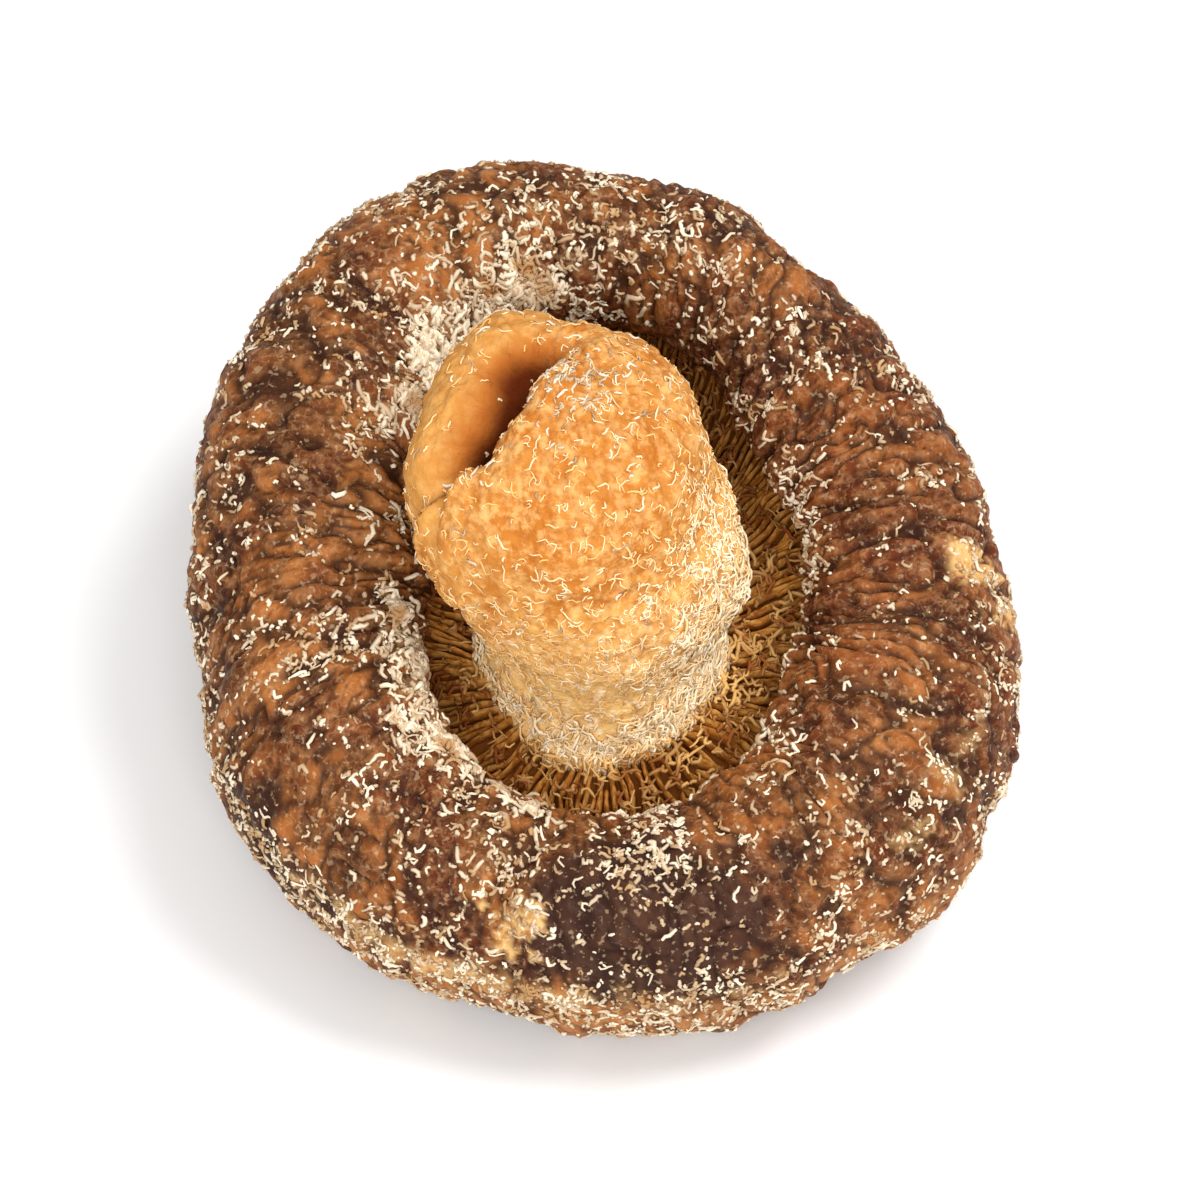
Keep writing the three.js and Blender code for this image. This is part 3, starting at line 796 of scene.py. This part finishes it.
def lay_strands(rows, weight, count, seed, length, thickness, curl,
                steps=5, lift=0.5, heading=(0, 180), paler=None):
    """Strands that lie along a skin laid out in rows. They fall where `weight` is high. length, thickness
    and curl are (least, most), in mm and degrees; lift is how far they stand off, in half thicknesses;
    heading is the direction and how far it strays, with 90 straight down the rows; paler lightens some
    places. Returns the strands' sections and their tones."""
    draw = np.random.default_rng(seed)
    outward, down, across = facing(rows)
    chance = (weight * down * across).reshape(-1)
    cell = draw.choice(chance.size, size=count, p=chance / chance.sum())
    row = cell // rows.shape[1] + draw.uniform(-0.5, 0.5, count)
    column = cell % rows.shape[1] + draw.uniform(-0.5, 0.5, count)
    row_mm, column_mm = down.reshape(-1)[cell], across.reshape(-1)[cell]
    share = np.linspace(0, 1, steps)
    size = length[0] + (length[1] - length[0]) * draw.uniform(0, 1, count) ** 1.6
    start = np.radians(heading[0] + heading[1] * draw.uniform(-1, 1, count))
    bend = np.radians(draw.uniform(*curl, count)) * draw.choice([-1, 1], count)
    heading = start[:, None] + bend[:, None] * (share - 0.5) + 0.5 * np.sin(7 * share + start[:, None] * 3)
    step = size[:, None] / (steps - 1)
    run_row = np.cumsum(np.sin(heading) * step, axis=1) / row_mm[:, None]
    run_column = np.cumsum(np.cos(heading) * step, axis=1) / column_mm[:, None]
    at_row = np.clip(row[:, None] + run_row - run_row.mean(axis=1, keepdims=True), 0, rows.shape[0] - 1.001)
    at_column = column[:, None] + run_column - run_column.mean(axis=1, keepdims=True)

    def skin_at(values):
        whole_row, whole_column = np.floor(at_row).astype(int), np.floor(at_column).astype(int)
        part_row, part_column = (at_row - whole_row)[..., None], (at_column - whole_column)[..., None]
        left, right = whole_column % rows.shape[1], (whole_column + 1) % rows.shape[1]
        upper = values[whole_row, left] * (1 - part_column) + values[whole_row, right] * part_column
        lower = values[whole_row + 1, left] * (1 - part_column) + values[whole_row + 1, right] * part_column
        return upper * (1 - part_row) + lower * part_row

    taper = 0.45 + 0.55 * np.sin(np.pi * (0.12 + 0.76 * share))
    half = draw.uniform(*thickness, count)[:, None] / 2 * taper
    middle, normal = skin_at(rows), skin_at(outward)
    normal /= np.linalg.norm(normal, axis=-1, keepdims=True)
    middle = middle + normal * (lift * half + 0.06 * draw.uniform(-1, 1, (count, steps)))[..., None]
    along = np.gradient(middle, axis=1)
    sideways = np.cross(along, normal)
    sideways /= np.linalg.norm(sideways, axis=-1, keepdims=True) + 1e-9
    corners = [normal * half[..., None] * 0.8, sideways * half[..., None], -normal * half[..., None] * 0.8,
               -sideways * half[..., None]]
    sections = np.stack([middle + corner for corner in corners], axis=2)
    tone = draw.uniform(0, 1, count) + (0 if paler is None else paler.reshape(-1)[cell])
    return sections, np.broadcast_to(np.clip(tone, 0, 1)[:, None, None], sections.shape[:3])


# Dry loose threads of one stuff: each its own shade between dark and pale, stained in patches, quite matt.
def loose_strands(name, dark, pale, stain):
    material, tree, surface, place = new_finish(name)
    shade = coat(tree, dark, pale, "tone")
    shade = coat(tree, shade, stain, mottle(tree, place, 2.5, 0.5, 0.7, 2.0))
    tree.links.new(shade, surface.inputs["Base Color"])
    surface.inputs["Roughness"].default_value = 0.75
    surface.inputs["Specular IOR Level"].default_value = 0.3
    return material


def add_strands(name, finish, rows, weight, **how):
    """A piece made of separate strands laid on a skin, and fixed to the mushroom."""
    sections, tone = lay_strands(rows, weight, **how)
    faces, layout = strand_faces(len(sections), sections.shape[1], 4)
    piece = make_piece(name, in_place(sections).reshape(-1, 3), faces, layout, {"tone": tone})
    piece.data.materials.append(finish)
    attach(piece, "root")


torn_skin = loose_strands("pale_torn_outer_skin", "#AA8458", "#F6E9CE", "#B68B5A")
clumps = 0.12 + 1.3 * soft_step(0.05, 0.6, swells(cap_smooth, 3.4, 81, 3, 0.6))
outside_lip = soft_step(-0.6, 0.8, from_lip)

# The rim: most behind the stem, in a white cluster beside the pinch, above the tear, on the right shoulder
# and along the lower front edge, and least on the left shoulder and on the dark patch.
rim_weight = clumps + 1.4 * veil + 2.6 * turn_bump(turning, 96, 30) * bump(from_lip, 6.5, 3.5)
rim_weight *= 1 - 0.5 * turn_bump(turning, 150, 22) * bump(from_lip, 9, 5)
rim_weight += 4.0 * turn_bump(turning, 278, 8) * bump(from_lip, 7.6, 2.6) + 1.6 * bare
rim_weight += 2.5 * turn_bump(turning, 256, 6) * bump(from_lip, CREST_AT + 1.2, 2.4)
rim_weight += 0.9 * turn_bump(turning, 40, 18) * bump(from_lip, WIDEST_AT - 3, 4)
rim_weight += 1.2 * turn_bump(turning, 240, 55) * bump(from_lip, WIDEST_AT - 1, 3)
rim_weight *= 1 - 0.7 * turn_bump(turning, 270, 17) * bump(from_lip, CREST_AT + 5, 4)
on_top = outside_lip * (1 - soft_step(WIDEST_AT + 2, WIDEST_AT + 7, from_lip))
add_strands("rim_torn_skin", torn_skin, cap_skin, on_top * rim_weight, count=3900, seed=91,
            length=(0.3, 1.25), thickness=(0.15, 0.34), curl=(20, 280))

# The rags of the veil on the lip, and the crown underneath.
add_strands("veil_rags", torn_skin, cap_skin, veil_place**2 * clumps, count=1150, seed=96,
            length=(0.5, 1.8), thickness=(0.18, 0.44), curl=(20, 200), paler=0.2 + 0 * veil)
under = soft_step(WIDEST_AT + 1, WIDEST_AT + 5, from_lip)
add_strands("crown_torn_skin", torn_skin, cap_skin, under * clumps, count=2200, seed=92,
            length=(0.3, 1.3), thickness=(0.15, 0.34), curl=(20, 280))

# The crumbs, everywhere among the threads.
crumb_weight = clumps + 1.5 * veil + 2.5 * turn_bump(turning, 262, 75) * bump(from_lip, WIDEST_AT, 3)
crumb_weight = (crumb_weight + 4 * crumbly_edge) * outside_lip
add_strands("skin_crumbs", torn_skin, cap_skin, crumb_weight, count=5000, seed=93,
            length=(0.12, 0.5), thickness=(0.15, 0.32), curl=(0, 60), steps=3, lift=0.3)

# ---------------------------------------------------------------------------------------------
# The felt. Fine pale fibre ends that stand off the stem, nearly white down its right side, with a thicker
# fringe round its foot and a few scraps of torn skin beside the hollow in its end. The real fibres are too
# fine to draw one by one, so they are drawn thicker and fewer.
felt = loose_strands("pale_stem_felt", "#F0BC6C", "#FFF0CC", "#EFC07A")
fringe = loose_strands("pale_foot_fringe", "#F0C888", "#FFF3D6", "#F0CC92")
stem_turning = stem_around[None, :] + 0 * down_stem
right_side = turn_bump(stem_turning, -22, 34) * bump(down_stem, 1.55, 0.4)
felt_weight = 0.3 + 0.6 * soft_step(0.9, 1.6, down_stem) + 1.6 * right_side
felt_weight *= (1 - soft_step(2.03, 2.08, down_stem)) * (1 - soft_step(0.3, 0.6, hollow))
felt_weight *= 1 - 0.4 * smooth_lobe
add_strands("stem_felt", felt, stem_skin, felt_weight, count=4200, seed=94, length=(0.4, 1.4),
            thickness=(0.07, 0.15), curl=(20, 240), lift=0.8, paler=right_side - 0.15)
fringe_weight = bump(down_stem, 1.93, 0.07) * (0.35 + turn_bump(stem_turning, -40, 65))
fringe_weight += 0.5 * turn_bump(stem_turning, -18, 26) * bump(down_stem, 1.7, 0.2)
add_strands("foot_fringe", fringe, stem_skin, fringe_weight, count=1100, seed=98, length=(0.7, 2.0),
            thickness=(0.12, 0.24), curl=(20, 150), lift=2.5, heading=(90, 70))
beside_hollow = bump(np.hypot(end_x - 1.4, end_y - 0.2), 0, 2.8) * (1 - hollow) * (down_stem < 1)
add_strands("stem_torn_skin", torn_skin, stem_skin, 0.02 + beside_hollow, count=260, seed=97,
            length=(0.4, 1.3), thickness=(0.11, 0.24), curl=(20, 260))

# ---------------------------------------------------------------------------------------------
# The shreds. Torn edges of the gills, curled over and lying across the blades. They are paler next to the
# stem and darker towards the rim; painted light makes them paler in front, where the rim shades them, and on
# the right, and painted shade makes them darker on the left.
shreds = loose_strands("torn_gill_shreds", "#7C400C", "#E0B26A", "#8E4C14")
gill_tops = cap_smooth[:LIP_ROW + 1] + [0, 0, GILL_BLADE_HEIGHT + 0.2]
gill_turning = turning[:LIP_ROW + 1]
outside_stem = np.hypot(gill_tops[..., 0] - STEM_FOOT[0], gill_tops[..., 1] - STEM_FOOT[1]) - STEM_FOOT_RADIUS
right_gills = turn_bump(gill_turning, -25, 40)
left_gills_shade = turn_bump(gill_turning, 190, 50)
front_gills_light = turn_bump(gill_turning, 275, 40)
# Painted light on the right and in front, painted shade on the left, over each shred's own tone.
shred_tone_and_light = 0.5 + 0.4 * right_gills - 0.9 * soft_step(0, 4, outside_stem) - 0.45 * left_gills_shade
shred_tone_and_light += 0.35 * front_gills_light
shred_weight = soft_step(0, 1, outside_stem) * (1 + 1.2 * right_gills * soft_step(5, 2, outside_stem))
add_strands("gill_shreds", shreds, gill_tops, shred_weight, count=3100, seed=95, length=(0.5, 1.8),
            thickness=(0.12, 0.32), curl=(20, 170), lift=0.8, heading=(90, 120), paler=shred_tone_and_light)

# ---------------------------------------------------------------------------------------------
# The stage: a wide white table in a white room under two soft lights, and the camera that looks down on
# the mouth. Sizes here are metres.
STAGE_SIZE = 3.0
ROOM_BRIGHTNESS = 0.7
OVERHEAD_LIGHT_PLACE = (0.24, -0.03, 0.52)
FRONT_LIGHT_PLACE = (-0.03, -0.44, 0.37)
CAMERA_ELEVATION = 49
CAMERA_DISTANCE = 0.6
CAMERA_LENS = 290
AIM_BELOW_MIDDLE = 0.004


def flat_square(name, size, height):
    half = size / 2
    corners = [[-half, -half, height], [half, -half, height], [half, half, height], [-half, half, height]]
    return make_piece(name, corners, [np.arange(4)], [[0, 0], [1, 0], [1, 1], [0, 1]])


table = flat_square("white_table", STAGE_SIZE, 0)
table_paint = bpy.data.materials.new("matt_white_table")
table_paint.use_nodes = True
table_surface = table_paint.node_tree.nodes["Principled BSDF"]
table_surface.inputs["Base Color"].default_value = paint("#F4F4F4")
table_surface.inputs["Roughness"].default_value = 0.9
table_surface.inputs["Specular IOR Level"].default_value = 0.1
table.data.materials.append(table_paint)

scene = bpy.context.scene
scene.view_settings.view_transform = "Standard"
world = bpy.data.worlds.new("white_room")
scene.world = world
world.use_nodes = True
room = world.node_tree.nodes["Background"]
room.inputs["Color"].default_value = (1, 1, 1, 1)
room.inputs["Strength"].default_value = ROOM_BRIGHTNESS


def soft_light(name, place, aim, size, power):
    lamp = bpy.data.lights.new(name, "AREA")
    lamp.shape = "DISK"
    lamp.size = size
    lamp.energy = power
    holder = bpy.data.objects.new(name, lamp)
    holder.location = place
    holder.rotation_euler = (Vector(aim) - Vector(place)).to_track_quat("-Z", "Y").to_euler()
    scene.collection.objects.link(holder)


middle = (Vector(cad_box[0]) + Vector(cad_box[1])) / 2
soft_light("overhead_light", OVERHEAD_LIGHT_PLACE, middle, 0.25, 1.75)
soft_light("front_light", FRONT_LIGHT_PLACE, middle, 0.3, 2.0)

camera_data = bpy.data.cameras.new("camera")
camera_data.lens = CAMERA_LENS
camera_data.sensor_width = 36
camera_data.clip_start = 0.01
camera = bpy.data.objects.new("camera", camera_data)
scene.collection.objects.link(camera)
aim_point = Vector((middle.x, middle.y, middle.z - AIM_BELOW_MIDDLE))
elevation = np.radians(CAMERA_ELEVATION)
towards = Vector((0, -np.cos(elevation), np.sin(elevation)))
camera.location = aim_point + towards * CAMERA_DISTANCE
camera.rotation_euler = (-towards).to_track_quat("-Z", "Y").to_euler()
scene.camera = camera

bpy.context.view_layer.update()
